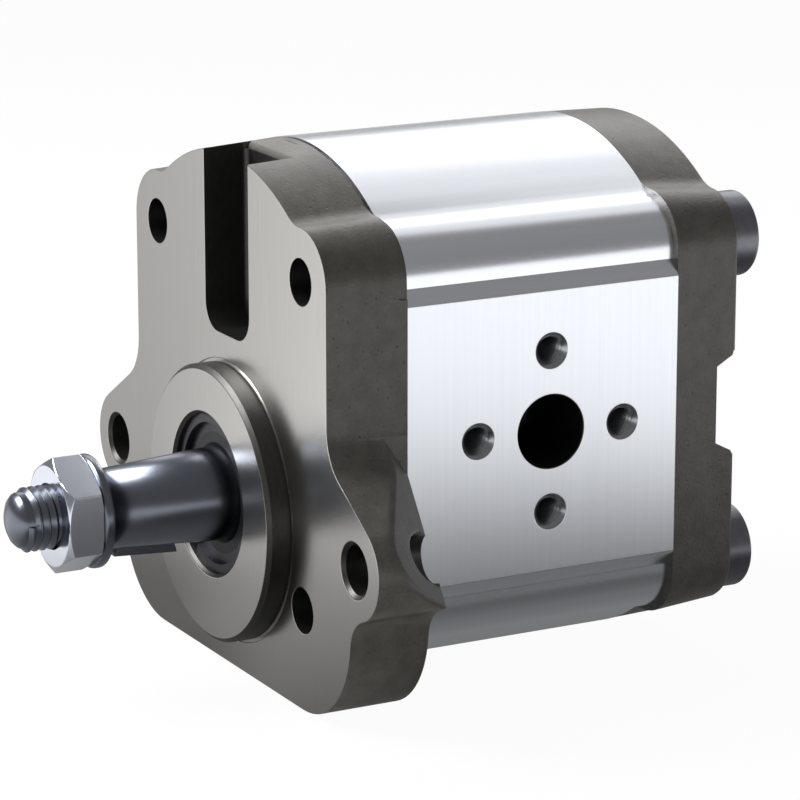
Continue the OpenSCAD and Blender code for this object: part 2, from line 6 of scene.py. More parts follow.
import bmesh
import bpy
from bpy.props import FloatProperty, FloatVectorProperty, PointerProperty
from bpy.types import Operator, Panel, PropertyGroup
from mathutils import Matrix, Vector


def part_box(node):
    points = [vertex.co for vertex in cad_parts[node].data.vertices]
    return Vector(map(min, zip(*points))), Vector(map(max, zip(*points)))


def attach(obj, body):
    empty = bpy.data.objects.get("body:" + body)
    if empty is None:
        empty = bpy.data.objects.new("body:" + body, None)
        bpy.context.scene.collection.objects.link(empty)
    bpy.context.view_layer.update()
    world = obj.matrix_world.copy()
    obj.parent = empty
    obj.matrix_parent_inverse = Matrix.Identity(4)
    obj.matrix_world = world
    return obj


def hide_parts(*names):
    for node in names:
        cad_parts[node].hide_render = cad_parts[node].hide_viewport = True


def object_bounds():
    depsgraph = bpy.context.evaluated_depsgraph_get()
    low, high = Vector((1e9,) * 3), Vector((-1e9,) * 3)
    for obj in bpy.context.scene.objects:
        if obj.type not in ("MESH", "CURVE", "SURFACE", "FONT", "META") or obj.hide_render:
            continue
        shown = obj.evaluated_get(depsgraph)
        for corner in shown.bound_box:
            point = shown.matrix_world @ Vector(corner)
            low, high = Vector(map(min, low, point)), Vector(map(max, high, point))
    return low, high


bl_info = {
    "name": "Hydraulic Gear Pump",
    "version": (1, 0, 0),
    "blender": (4, 5, 0),
    "location": "View3D > Sidebar > Gear Pump",
    "description": "Dresses the CAD frame of a gear pump as castings, extrusion and ground steel",
    "category": "Object",
}

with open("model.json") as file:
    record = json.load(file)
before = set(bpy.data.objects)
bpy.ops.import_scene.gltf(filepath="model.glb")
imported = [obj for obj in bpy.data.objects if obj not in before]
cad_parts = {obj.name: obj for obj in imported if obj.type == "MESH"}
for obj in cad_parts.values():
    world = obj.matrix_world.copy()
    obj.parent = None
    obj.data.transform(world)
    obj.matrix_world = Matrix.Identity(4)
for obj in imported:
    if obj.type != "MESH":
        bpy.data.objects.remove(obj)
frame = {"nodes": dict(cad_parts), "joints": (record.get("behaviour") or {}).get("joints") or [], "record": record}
CAD_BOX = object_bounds()
MM = 0.001


def box_mm(node):
    """Lowest and highest corner of a CAD node, in millimetres"""
    return [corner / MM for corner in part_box(node)]


# Stations and axes of the pump, read from the frame, in millimetres
AXIS_Z = {joint["child"]: joint["pos_m"][2] / MM for joint in frame["joints"]}
DRIVE_Z = AXIS_Z["drive_train"]
DRIVEN_Z = AXIS_Z["driven_train"]
MID_Z = (DRIVE_Z + DRIVEN_Z) / 2
BODY_LOW, BODY_HIGH = box_mm("pump_body")
JOINT_1, JOINT_2 = BODY_LOW.y, BODY_HIGH.y
PILOT_Y = box_mm("front_cover")[0].y
BACK_Y = box_mm("rear_cover")[1].y
MOUNTS = {mount["name"]: mount for mount in frame["record"]["mounts"]}
LUG_X = MOUNTS["lug_holes"]["dims"]["spacing_x_mm"] / 2
PORT_Y = MOUNTS["pressure_port"]["pos_m"][1] / MM


def length(name, description, millimetres):
    """A size in the sidebar, kept in metres"""
    return FloatProperty(name=name, description=description, default=millimetres * MM, unit="LENGTH")


def amount(name, description, value):
    """A strength in the sidebar"""
    return FloatProperty(name=name, description=description, default=value)


def linear(code):
    """Linear RGB of an sRGB hex colour"""
    parts = [int(code[i : i + 2], 16) / 255 for i in (1, 3, 5)]
    return tuple(p / 12.92 if p <= 0.04045 else ((p + 0.055) / 1.055) ** 2.4 for p in parts)


def colour(name, description, code):
    """A colour in the sidebar"""
    return FloatVectorProperty(
        name=name, description=description, subtype="COLOR", size=3, min=0, max=1, default=linear(code)
    )


class PumpCovers(PropertyGroup):
    """Sizes of the two castings"""

    bolt_pitch: length("Bolt pitch", "Spacing of the four body bolts", 60.3)
    crown_front: length("Crown at the face", "Radius of the cover's crown at the mounting face", 48.4)
    crown_joint: length("Crown at the joint", "Radius of the cover's crown at the body", 49.2)
    flank_front: length("Flank at the face", "Half width of the flanks at the mounting face", 40.0)
    flank_joint: length("Flank at the joint", "Half width of the flanks at the body", 40.7)
    foot_radius: length("Foot radius", "Radius of the two lower corners", 18.8)
    lug_radius: length("Lug radius", "Radius of the lugs around their holes", 9.2)
    slot_width: length("Slot width", "Width of the slot in the mounting face", 18.4)
    slot_depth: length("Slot depth", "Depth of the slot in the mounting face", 9.0)
    deburr: length("Deburr", "Rounding of the castings' machined edges", 0.18)
    cast_round: length("Cast rounding", "Rounding of the castings' raw edges", 1.1)


class PumpBody(PropertyGroup):
    """Sizes of the extruded body"""

    crown: length("Crown", "Radius of the crowned top and bottom", 49.3)
    column: length("Column", "Radius of the corner columns", 9.1)
    port_face: length("Port face", "Distance of the port faces from the middle", 41.0)
    port_half: length("Port face half height", "Half the height of a port face", 26.05)
    shoulder: length("Shoulder", "Height of the slope beside a port face", 2.8)
    deburr: length("Deburr", "Rounding of the long edges and of the hole mouths", 0.12)


class PumpShaft(PropertyGroup):
    """Sizes of the drive shaft's end"""

    thread_pitch: length("Thread pitch", "Pitch of the thread on the shaft's end", 1.5)
    thread_depth: length("Thread depth", "Depth of that thread", 0.85)
    edge_round: length("Edge rounding", "Rounding of the nut and the key", 0.15)


class PumpFinishes(PropertyGroup):
    """Colours of the metals and the rubber"""

    cast_iron: colour("Cast iron", "Raw casting under a thin dark primer", "#57544F")
    faced_iron: colour("Faced iron", "Cast iron after milling", "#C2C0BD")
    aluminium: colour("Aluminium", "Extruded body", "#EDF0F6")
    steel: colour("Steel", "Ground shaft and washer", "#747882")
    zinc: colour("Zinc", "Plated nut", "#D0D4DE")
    black_steel: colour("Black steel", "Phosphated screws", "#7A7A82")
    rubber: colour("Rubber", "Seal rings and lips", "#1C1C1E")
    bronze: colour("Bronze", "Bearing bushes", "#A88A5A")
    plastic: colour("Plastic", "Backup rings", "#D8D4C8")


class PumpStage(PropertyGroup):
    """Strengths of the lamps and the backdrop"""

    key: amount("Key", "Power of the lamp at the upper left front, in watts", 8.2)
    card: amount("Left card", "Power of the soft card behind on the left, in watts", 0.95)
    top: amount("Top card", "Power of the soft card overhead, in watts", 0.36)
    fill: amount("Fill", "Power of the lamp behind on the right, in watts", 0.3)
    sky: amount("Sky", "Strength of the backdrop as light on the object", 0.12)
    sheen: amount("Sheen", "Strength of the backdrop as metal mirrors it", 0.28)
    # Floor near, front and left set a painted shadow and painted shade, which only metal sees in the floor
    near: amount("Floor near", "How bright metal sees the floor at its foot", 0.12)
    front: amount("Floor front", "The same on the side of the mounting face", 0.42)
    far: amount("Floor far", "How bright metal sees the open floor", 1.32)
    left: amount("Floor left", "Share of that light on the floor's left", 0.46)
    paper: colour("Paper", "Floor and backdrop", "#F4F4F4")


def settings(name):
    """A group of settings of the scene"""
    return getattr(bpy.context.scene, name)


def millimetres(group):
    """The lengths of a group of settings, in millimetres"""
    names = group.bl_rna.properties.keys()
    return {n: getattr(group, n) / MM for n in names if isinstance(getattr(group, n), float)}


# Outlines, as lists of (x, z) in millimetres. These are their radii, and the lugs' slope in degrees
HOLLOW = 8
SHOULDER_RADIUS = 10
FOOT_FILLET = 7
LUG_SLOPE = 31.6


def polar(centre, radius, degrees):
    """A point at a radius and a direction from a centre"""
    angle = math.radians(degrees)
    return (centre[0] + radius * math.cos(angle), centre[1] + radius * math.sin(angle))


def arc(centre, radius, start, end, steps):
    """Points along an arc, both ends included"""
    return [polar(centre, radius, start + (end - start) * i / steps) for i in range(steps + 1)]


def bearing(a, b):
    """Direction from a to b, in degrees"""
    return math.degrees(math.atan2(b[1] - a[1], b[0] - a[0]))


def crossing(c1, r1, c2, r2):
    """The point where two circles cross, on the left of the way from c1 to c2"""
    first, second = Vector(c1), Vector(c2)
    way = second - first
    along = (r1**2 - r2**2 + way.length_squared) / (2 * way.length)
    off = math.sqrt(r1**2 - along**2)
    way.normalize()
    return tuple(first + way * along + Vector((-way.y, way.x)) * off)


def mirrored(half):
    """A closed outline from its right half, which runs from the top to the bottom"""
    return half + [(-x, z) for x, z in reversed(half) if abs(x) > 1e-6]


def crowned_corner(crown, flank, radius, bolt):
    """Half a crown, the hollow beside it and the corner, down to the flank"""
    middle, corner = (0, MID_Z), (flank - radius, MID_Z + bolt)
    hollow = crossing(middle, crown + HOLLOW, corner, radius + HOLLOW)
    half = arc(middle, crown, 90, bearing(middle, hollow), 24)
    half += arc(hollow, HOLLOW, bearing(hollow, middle), bearing(hollow, corner), 8)[1:]
    return half + arc(corner, radius, bearing(corner, hollow), 0, 16)[1:]


def flipped(points):
    """The same points below the pump's middle, in the opposite order"""
    return [(x, 2 * MID_Z - z) for x, z in reversed(points)]


def cover_outline(crown, flank, corner_radius, s):
    """Outline of the mounting cover: crown, corners, flanks, lugs and feet"""
    bolt, lug, foot = s["bolt_pitch"] / 2, (LUG_X, 0), s["foot_radius"]
    foot_centre = (bolt, MID_Z - bolt)
    across = Vector((math.sin(math.radians(LUG_SLOPE)), math.cos(math.radians(LUG_SLOPE))))
    level = across.dot(Vector(lug)) + s["lug_radius"]
    shoulder_x = flank + SHOULDER_RADIUS
    shoulder = (shoulder_x, (level + SHOULDER_RADIUS - across.x * shoulder_x) / across.y)
    fillet = crossing(lug, s["lug_radius"] + FOOT_FILLET, foot_centre, foot + FOOT_FILLET)
    half = crowned_corner(crown, flank, corner_radius, bolt)
    half += arc(shoulder, SHOULDER_RADIUS, 180, 270 - LUG_SLOPE, 10)
    half += arc(lug, s["lug_radius"], 90 - LUG_SLOPE, bearing(lug, fillet), 24)
    half += arc(fillet, FOOT_FILLET, bearing(fillet, lug), bearing(fillet, foot_centre) % 360, 10)[1:]
    half += arc(foot_centre, foot, bearing(foot_centre, fillet), -90, 16)[1:]
    half += [(0, foot_centre[1] - foot)]
    return mirrored(half)


def rear_outline(crown, flank, radius, bolt):
    """Outline of the rear cover: two crowns, four corners, straight flanks"""
    upper = crowned_corner(crown, flank, radius, bolt)
    return mirrored(upper + flipped(upper))


def body_outline(s, bolt):
    """Outline of the body: two crowns, four columns and a raised port face on each side"""
    flank, half = bolt + s["column"], s["port_half"]
    upper = crowned_corner(s["crown"], flank, s["column"], bolt)
    upper += [(flank, MID_Z + half + s["shoulder"]), (s["port_face"], MID_Z + half)]
    return mirrored(upper + flipped(upper))


# Meshes, in millimetres until they become pieces
FILLET_STEPS = 6
THREAD_STEPS = 48
SPECK = 0.03
CAD_SPECK = 0.002
FLAT_DEGREES = 0.3
SHARP_DEGREES = 25


def surfaced(bm, surface):
    """The mesh with its faces outwards and one material, by its place in the piece's list, on all"""
    bmesh.ops.recalc_face_normals(bm, faces=bm.faces)
    for face in bm.faces:
        face.material_index = surface
    return bm


def drawn(outlines, stations, surface=0):
    """A closed solid through outlines of as many points, one at each station along Y"""
    bm = bmesh.new()
    verts = [bm.verts.new((x, stations[0], z)) for x, z in outlines[0]]
    face = bm.faces.new(verts)
    for i, (outline, y) in enumerate(zip(outlines[1:], stations[1:])):
        inner = face
        fresh = bmesh.ops.extrude_face_region(bm, geom=[face])["geom"]
        face = next(g for g in fresh if isinstance(g, bmesh.types.BMFace))
        if i:
            bmesh.ops.delete(bm, geom=[inner], context="FACES_ONLY")
        ends = set(face.verts)
        verts = [next(e.other_vert(v) for e in v.link_edges if e.other_vert(v) in ends) for v in verts]
        for vert, (x, z) in zip(verts, outline):
            vert.co = (x, y, z)
    return surfaced(bm, surface)


def swept(profile, move):
    """A closed solid from a flat profile, moved straight"""
    bm = bmesh.new()
    face = bm.faces.new([bm.verts.new(point) for point in profile])
    fresh = bmesh.ops.extrude_face_region(bm, geom=[face])["geom"]
    bmesh.ops.translate(bm, verts=[g for g in fresh if isinstance(g, bmesh.types.BMVert)], vec=move)
    return surfaced(bm, 0)


def filleted(before, corner, after, radius):
    """Points of an arc that rounds the corner between two straight lines"""
    a, p, b = Vector(before), Vector(corner), Vector(after)
    one, two = (a - p).normalized(), (b - p).normalized()
    half = one.angle(two) / 2
    middle = (one + two).normalized()
    centre = p + middle * (radius / math.sin(half))
    start, end = (p + way * (radius / math.tan(half)) - centre for way in (one, two))
    return [tuple(centre + start.slerp(end, i / FILLET_STEPS)) for i in range(FILLET_STEPS + 1)]


def turned(profile, z, steps=96, x=0, surface=0, axis="Y"):
    """A solid of revolution about an axis along Y (or X), from a profile of (radius, station)"""
    bm = bmesh.new()
    if axis == "Y":
        verts = [bm.verts.new((x + r, y, z)) for r, y in profile]
        centre, spin_axis = (x, 0, z), (0, 1, 0)
    else:
        verts = [bm.verts.new((y, x + r, z)) for r, y in profile]
        centre, spin_axis = (0, x, z), (1, 0, 0)
    edges = [bm.edges.new(pair) for pair in zip(verts, verts[1:])]
    bmesh.ops.spin(
        bm, geom=verts + edges, cent=centre, axis=spin_axis, angle=math.tau, steps=steps, use_merge=True
    )
    bmesh.ops.remove_doubles(bm, verts=bm.verts, dist=1e-4)
    return surfaced(bm, surface)


def block(low, high):
    """A box between two corners"""
    bm = bmesh.new()
    bmesh.ops.create_cube(bm, size=1)
    bmesh.ops.scale(bm, verts=bm.verts, vec=Vector(high) - Vector(low))
    bmesh.ops.translate(bm, verts=bm.verts, vec=(Vector(high) + Vector(low)) / 2)
    return bm


def trimmed(bm, point, normal):
    """Cuts away what lies beyond a plane, and closes the cut"""
    geom = bm.verts[:] + bm.edges[:] + bm.faces[:]
    cut = bmesh.ops.bisect_plane(bm, geom=geom, plane_co=point, plane_no=normal, clear_outer=True)
    edges = [g for g in cut["geom_cut"] if isinstance(g, bmesh.types.BMEdge)]
    bmesh.ops.holes_fill(bm, edges=edges)


def bevelled(bm, edges, width, segments):
    """The mesh with edges of it rounded"""
    bmesh.ops.bevel(
        bm, geom=edges, offset=width, offset_type="OFFSET", segments=segments, profile=0.5,
        affect="EDGES", material=-1, clamp_overlap=False,
    )
    return bm


def loose(name, bm, materials=()):
    """An object from a bmesh in millimetres"""
    bmesh.ops.scale(bm, verts=bm.verts, vec=(MM, MM, MM))
    mesh = bpy.data.meshes.new(name)
    for material in materials:
        mesh.materials.append(material)
    bm.to_mesh(mesh)
    bm.free()
    new = bpy.data.objects.new(name, mesh)
    bpy.context.scene.collection.objects.link(new)
    return new


def tidied(target):
    """Merges the specks that cutting leaves, so that edges can be rounded"""
    bm = bmesh.new()
    bm.from_mesh(target.data)
    bmesh.ops.remove_doubles(bm, verts=bm.verts, dist=SPECK * MM)
    bmesh.ops.dissolve_degenerate(bm, edges=bm.edges, dist=SPECK * MM / 4)
    bmesh.ops.dissolve_limit(
        bm, angle_limit=math.radians(FLAT_DEGREES), verts=bm.verts, edges=bm.edges, delimit={"MATERIAL"}
    )
    bm.to_mesh(target.data)
    bm.free()


def combine(target, tools, operation="DIFFERENCE"):
    """Cuts closed meshes out of a piece, or adds them to it. Faces keep their tool's finish"""
    helpers = [loose("tool", bm) for bm in tools]
    for helper in helpers:
        modifier = target.modifiers.new("shape", "BOOLEAN")
        modifier.operation = operation
        modifier.solver = "EXACT"
        modifier.object = helper
    bpy.context.view_layer.update()
    shaped = target.evaluated_get(bpy.context.evaluated_depsgraph_get())
    mesh = bpy.data.meshes.new_from_object(shaped)
    target.modifiers.clear()
    target.data = mesh
    for helper in helpers:
        bpy.data.objects.remove(helper)


def merge(target, other):
    """Adds another object's mesh to a piece"""
    bm = bmesh.new()
    bm.from_mesh(target.data)
    bm.from_mesh(other.data)
    bm.to_mesh(target.data)
    bm.free()
    bpy.data.objects.remove(other)


def round_edges(target, width, wanted, segments):
    """Rounds the sharp edges whose middle, in millimetres, passes a test"""
    bm = bmesh.new()
    bm.from_mesh(target.data)
    bmesh.ops.remove_doubles(bm, verts=bm.verts, dist=1e-6)
    edges = [
        e for e in bm.edges
        if e.is_manifold and e.calc_face_angle(0) > math.radians(SHARP_DEGREES)
        and wanted((e.verts[0].co + e.verts[1].co) / 2 / MM)
    ]
    bevelled(bm, edges, width * MM, segments)
    bm.to_mesh(target.data)
    bm.free()


def smooth(target, sharp_degrees):
    """Smooth shading, broken at the edges that turn by more than an angle"""
    for polygon in target.data.polygons:
        polygon.use_smooth = True
    target.data.set_sharp_from_angle(angle=math.radians(sharp_degrees))


def flattened(target, keep_sharp, weight):
    """Normals that keep flat faces flat"""
    weighted = target.modifiers.new("normals", "WEIGHTED_NORMAL")
    weighted.keep_sharp = keep_sharp
    weighted.weight = weight


def smoothed(target):
    """The shading of a piece whose edges are already rounded"""
    smooth(target, 34)
    flattened(target, True, 60)


def soften(target, width, segments=2, angle=32):
    """The shading of a piece whose edges a live bevel rounds"""
    tidied(target)
    bevel = target.modifiers.new("edges", "BEVEL")
    bevel.width = width * MM
    bevel.segments = segments
    bevel.limit_method = "ANGLE"
    bevel.angle_limit = math.radians(angle)
    bevel.use_clamp_overlap = False
    for polygon in target.data.polygons:
        polygon.use_smooth = True
    flattened(target, False, 80)


def cad_copy(node):
    """A merged copy of a CAD node's mesh, with its flat faces joined up, in millimetres"""
    bm = bmesh.new()
    bm.from_mesh(frame["nodes"][node].data)
    bmesh.ops.scale(bm, verts=bm.verts, vec=(1 / MM,) * 3)
    bmesh.ops.remove_doubles(bm, verts=bm.verts, dist=CAD_SPECK)
    bmesh.ops.dissolve_limit(bm, angle_limit=math.radians(1), verts=bm.verts, edges=bm.edges)
    return bm


def dress(piece, body, slot, *replaced):
    """Attaches a piece to its body and hides the CAD nodes that it stands for. The slot is not used."""
    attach(piece, body)
    if replaced:
        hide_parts(*replaced)


# Materials


def add(tree, kind, inputs=(), links=(), **options):
    """A node with its options, its input values and its links"""
    new = tree.nodes.new(kind)
    for name, value in options.items():
        setattr(new, name, value)
    for name, value in dict(inputs).items():
        new.inputs[name].default_value = value
    for name, socket in dict(links).items():
        tree.links.new(socket, new.inputs[name])
    return new


def tint(name, share=1.0):
    """A colour of the settings, at a share of its brightness"""
    return tuple(c * share for c in getattr(settings("pump_finishes"), name))


def finish(name, base, metallic, roughness, build):
    """A material on one shader. build adds the pattern, and returns what drives colour and normal"""
    if name in bpy.data.materials:
        return bpy.data.materials[name]
    material = bpy.data.materials.new(name)
    material.use_nodes = True
    tree = material.node_tree
    tree.nodes.clear()
    out = tree.nodes.new("ShaderNodeOutputMaterial")
    values = {"Metallic": metallic, "Roughness": roughness, "Base Color": (*base, 1)}
    shader = add(tree, "ShaderNodeBsdfPrincipled", values)
    for socket, driver in build(tree, base).items():
        tree.links.new(driver, shader.inputs[socket])
    tree.links.new(shader.outputs[0], out.inputs["Surface"])
    return material


def stretched(tree, scale):
    """Object coordinates, stretched so that a pattern runs along one way"""
    place = tree.nodes.new("ShaderNodeTexCoord").outputs["Object"]
    return add(tree, "ShaderNodeMapping", {"Scale": scale}, {"Vector": place}).outputs[0]


def patterned(tree, base, shade, height, strength, depth):
    """What drives a finish: its colour times a shade, and a relief of a depth in millimetres"""
    mix = {"data_type": "RGBA", "blend_type": "MULTIPLY"}
    tinted = add(tree, "ShaderNodeMix", {"Factor": 1.0, 6: (*base, 1)}, {7: shade}, **mix)
    bump = add(tree, "ShaderNodeBump", {"Strength": strength, "Distance": depth * MM}, {"Height": height})
    return {"Base Color": tinted.outputs[2], "Normal": bump.outputs[0]}


def cast_grain(tree, base):
    """Sand-cast skin: 0.55 mm grain, a few small dark pits and a slow change of tone"""
    at = {"Vector": stretched(tree, (1, 1, 1))}
    grain = add(
        tree, "ShaderNodeTexNoise", {"Scale": 1 / (0.55 * MM), "Detail": 3.0, "Roughness": 0.6}, at
    ).outputs[0]
    lumps = add(tree, "ShaderNodeTexNoise", {"Scale": 1 / (3.2 * MM), "Detail": 2.0}, at).outputs[0]
    pits = add(tree, "ShaderNodeTexVoronoi", {"Scale": 1 / (1.9 * MM), "Randomness": 1.0}, at)
    skin = add(
        tree, "ShaderNodeMapRange", {"From Min": 0.05, "From Max": 0.14}, {"Value": pits.outputs["Distance"]}
    ).outputs[0]
    tones = []
    for value, low, high, dark, light in (
        (lumps, 0.3, 0.7, 0.82, 1.12), (grain, 0.3, 0.7, 0.86, 1.1), (skin, 0, 1, 0.55, 1)
    ):
        ends = {"From Min": low, "From Max": high, "To Min": dark, "To Max": light}
        tones.append(add(tree, "ShaderNodeMapRange", ends, {"Value": value}).outputs[0])
    shade = tones[0]
    for tone in tones[1:]:
        shade = add(tree, "ShaderNodeMath", {}, {0: shade, 1: tone}, operation="MULTIPLY").outputs[0]
    height = add(tree, "ShaderNodeMath", {}, {0: grain, 1: skin}, operation="ADD").outputs[0]
    return patterned(tree, base, shade, height, 0.6, 0.11)


def lines(scale, depth, tone):
    """Tool lines: scale is the pattern's stretch, depth their height in micrometres, tone how dark"""

    def build(tree, base):
        at = {"Vector": stretched(tree, scale)}
        streak = add(
            tree, "ShaderNodeTexNoise", {"Scale": 1.0, "Detail": 2.0, "Roughness": 0.55}, at
        ).outputs[0]
        ends = {"From Min": 0.25, "From Max": 0.75, "To Min": 1 - tone, "To Max": 1.0}
        shade = add(tree, "ShaderNodeMapRange", ends, {"Value": streak}).outputs[0]
        return patterned(tree, base, shade, streak, 0.5, depth / 1000)

    return build


def rough_iron():
    """Grey iron as cast, under thin dark primer: grainy, brown-grey, with a sheen at low angles"""
    return finish("raw_cast_iron", tint("cast_iron"), 0.0, 0.33, cast_grain)


def faced_iron():
    """Grey iron, face-milled: satin, with faint upright tool lines 0.3 mm apart"""
    return finish("milled_cast_iron", tint("faced_iron"), 1.0, 0.25, lines((3300, 3300, 60), 3, 0.06))


def shaded_drilled_iron():
    """Grey iron, turned, drilled or tapped, with painted shade: darkened well below a milled face to stand for the
    shade in bores, slots and on the pilot's side
    """
    # Painted shade: the milled iron's colour at 0.13 of its brightness
    base = tint("faced_iron", 0.13)
    return finish("drilled_cast_iron", base, 0.9, 0.4, lines((600, 2500, 600), 6, 0.2))


def extruded_aluminium():
    """Aluminium as extruded: bright satin, with die lines that run the length of the body"""
    return finish("extruded_aluminium", tint("aluminium"), 1.0, 0.24, lines((900, 9, 900), 5, 0.05))


def milled_aluminium():
    """Aluminium, milled: bright, with faint upright cutter lines 0.4 mm apart"""
    return finish("milled_aluminium", tint("aluminium"), 1.0, 0.3, lines((2500, 2500, 25), 3, 0.05))


def tapped_aluminium():
    """Aluminium, tapped, with painted shade: grey, darkened to stand for the shade in the thread"""
    base = tint("aluminium", 0.48)
    return finish("tapped_aluminium", base, 1.0, 0.25, lines((600, 600, 600), 4, 0.15))


def bored_aluminium():
    """Aluminium, bored deep inside the body, with painted shade: darkened to stand for the shade there"""
    base = tint("aluminium", 0.12)
    return finish("bored_aluminium", base, 0.9, 0.4, lines((600, 600, 600), 4, 0.15))


def ground_steel():
    """Carbon steel, turned and ground: blue-grey, nearly polished, with fine rings round the axis"""
    return finish("ground_steel", tint("steel"), 1.0, 0.27, lines((40, 4000, 40), 1.5, 0.05))


def plated_steel():
    """Carbon steel, zinc plated: the nut, smooth and bluish"""
    return finish("zinc_plated_steel", tint("zinc"), 1.0, 0.17, lines((500, 500, 500), 1, 0.04))


def phosphated_steel():
    """Carbon steel, phosphated and oiled: dark grey with a soft sheen"""
    return finish("phosphated_steel", tint("black_steel"), 0.85, 0.33, lines((700, 700, 700), 3, 0.15))


def oiled_steel():
    """Carbon steel, drawn: the seal's case and its ring, with painted shade that makes them dark in the pilot's
    mouth
    """
    base = tint("black_steel", 0.3)
    return finish("oiled_steel", base, 0.85, 0.35, lines((700, 700, 700), 3, 0.15))


def nitrile_rubber():
    """Nitrile rubber, moulded: near black, matt, with a slight bloom"""
    return finish("nitrile_rubber", tint("rubber"), 0.0, 0.55, lines((900, 900, 900), 8, 0.25))


def bearing_bronze():
    """Leaded bronze on steel backing: warm brown metal, fine turned"""
    return finish("bearing_bronze", tint("bronze"), 1.0, 0.32, lines((40, 3000, 40), 2, 0.08))


def filled_plastic():
    """PTFE backup ring: waxy off-white"""
    return finish("ptfe", tint("plastic"), 0.0, 0.4, lines((500, 500, 500), 3, 0.06))


# Pieces, and the sizes that the sidebar leaves out, in millimetres

# Places of the materials in the lists of the castings and of the body; the drilled, tapped and bored places take
# darkened materials, which are painted shade
RAW, FACED, DRILLED_SHADED = 0, 1, 2
EXTRUDED, MILLED, TAPPED_SHADED, BORED_SHADED = 0, 1, 2, 3
# How far a cutter goes past the metal
PAST = 2
# Castings
FACE_CORNER, JOINT_CORNER = 9.8, 10.5
NECK_INSET, NECK_START, NECK_END = 0.9, 0.75, 0.7
PILOT_RADIUS, PILOT_TIP, PILOT_CHAMFER, PILOT_ROOT = 26, 25.2, 0.8, 3
GROOVE_RADIUS, GROOVE_DEPTH = 26.65, 0.45
LUG_HOLE, LUG_CHAMFER = 4.5, 0.7
THREAD_HOLE, CLEARANCE = 4.25, 5.25
SEAT_RADIUS, SEAT_DEPTH, SEAT_CLEAR = 8.25, 0.8, 8.6
SEAL_BORE, SEAL_MOUTH, SEAL_FLOOR, SHAFT_BORE = 15, 16.6, 4.9, 9.8
RING_RADIUS, RING_START, RING_END = 15.7, -3.3, -2.1
SLANT, SLANT_LEVEL, LUG_TOP = Vector((1, 1, 0.7)), 65.66, 22.6
STEP_TOP, STEP_INSET, STEP_SLOPE = 45.6, 3, 0.9
STEP_Y = (12.4, 12.9, 14.1)
SLOT_FLOOR, SLOT_CORNER, SLOT_ROUND = 29.6, 5.0, 1.3
# Body
CHAMBER_RADIUS = 17.99
PORT_EDGE, PORT_STEP, PORT_DEPTH, PORT_END = 0.2, 0.9, 20, 6
TAP_CHAMFER, TAP_DEPTH = 0.45, 9


def lug_cutter(side, s):
    """What the sloping back of a lug leaves away, beyond the drafted flank"""
    draft = (s["flank_joint"] - s["flank_front"]) / JOINT_1
    bm = block((side * 36, -PAST, MID_Z - 34), (side * 66, JOINT_1 + PAST, LUG_TOP))
    slant = Vector((side * SLANT.x, SLANT.y, SLANT.z))
    trimmed(bm, slant * (SLANT_LEVEL / slant.length_squared), -slant)
    trimmed(bm, (side * (s["flank_front"] + 0.3), 0, 0), Vector((-side, draft, 0)))
    bmesh.ops.recalc_face_normals(bm, faces=bm.faces)
    return bm


def on_lug_slant(p):
    """Whether a point lies on the sloping back of a lug, clear of the casting's other edges"""
    level = Vector((abs(p.x), p.y, p.z)).dot(SLANT)
    return abs(level - SLANT_LEVEL) < 0.1 and abs(p.x) > 41.2 and p.y < 15.3 and p.z < 17


def flank_step(side, s):
    """What widens a flank near the joint, from the lug up to the corner"""
    x = side * s["flank_front"]
    inner, outer = x - side * STEP_INSET, x + side
    rise = [(inner, STEP_Y[0]), (x + side * 0.25, STEP_Y[1]), (outer, STEP_Y[2])]
    rim, low = [(inner, JOINT_1), *rise, (outer, JOINT_1)], LUG_TOP + 0.1
    step = swept([(u, y, low) for u, y in rim], (0, 0, STEP_TOP - low))
    for vert in (v for v in step.verts if v.co.z > (low + STEP_TOP) / 2):
        vert.co.z -= STEP_SLOPE * abs(vert.co.x - x)
    return step


def slot_cutter(s):
    """The slot down the mounting face, with small hollows at its back"""
    half, corner, floor = s["slot_width"] / 2, SLOT_CORNER, DRIVE_Z + SLOT_FLOOR
    right = arc((half - corner, floor + corner), corner, -90, 0, 8) + [(half, floor + 50)]
    outline = right + [(-x, z) for x, z in reversed(right)]
    # The slot's walls and floor take the darkened drilled iron: painted shade
    bm = drawn([outline, outline], [-PAST, s["slot_depth"]], DRILLED_SHADED)
    back = [
        e for e in bm.edges
        if all(v.co.y > s["slot_depth"] - 0.01 for v in e.verts)
        and min(v.co.z for v in e.verts) < floor + 40
    ]
    return bevelled(bm, back, SLOT_ROUND, 4)


def slot_edge_cutter(s):
    """Rounds the top edge of the slot's back wall, up to the crown"""
    half, radius, back = s["slot_width"] / 2 + 0.05, SLOT_ROUND, s["slot_depth"]
    y, z = centre = (back + radius, MID_Z + s["crown_front"] - 1.6)
    bend = arc(centre, radius, 180, 108, 6)
    profile = bend + [(y + 3, bend[-1][1] + 1.0), (y + 3, z + 6), (back - 1, z + 6), (back - 1, z)]
    return swept([(-half, y, z) for y, z in profile], (2 * half, 0, 0))


def hole_tool(x, z, radius, y0, y1, chamfer=0.0, surface=DRILLED_SHADED):
    """Drill along Y, with a chamfered mouth at y0 where a chamfer is given"""
    # Its faces take the darkened drilled iron unless another material is given: painted shade in the hole
    mouth = [(radius + chamfer + 1, y0 - 1), (radius, y0 + chamfer)] if chamfer else [(radius, y0 - 1)]
    return turned([(0, y0 - 1), *mouth, (radius, y1), (0, y1)], z, 48, x, surface)


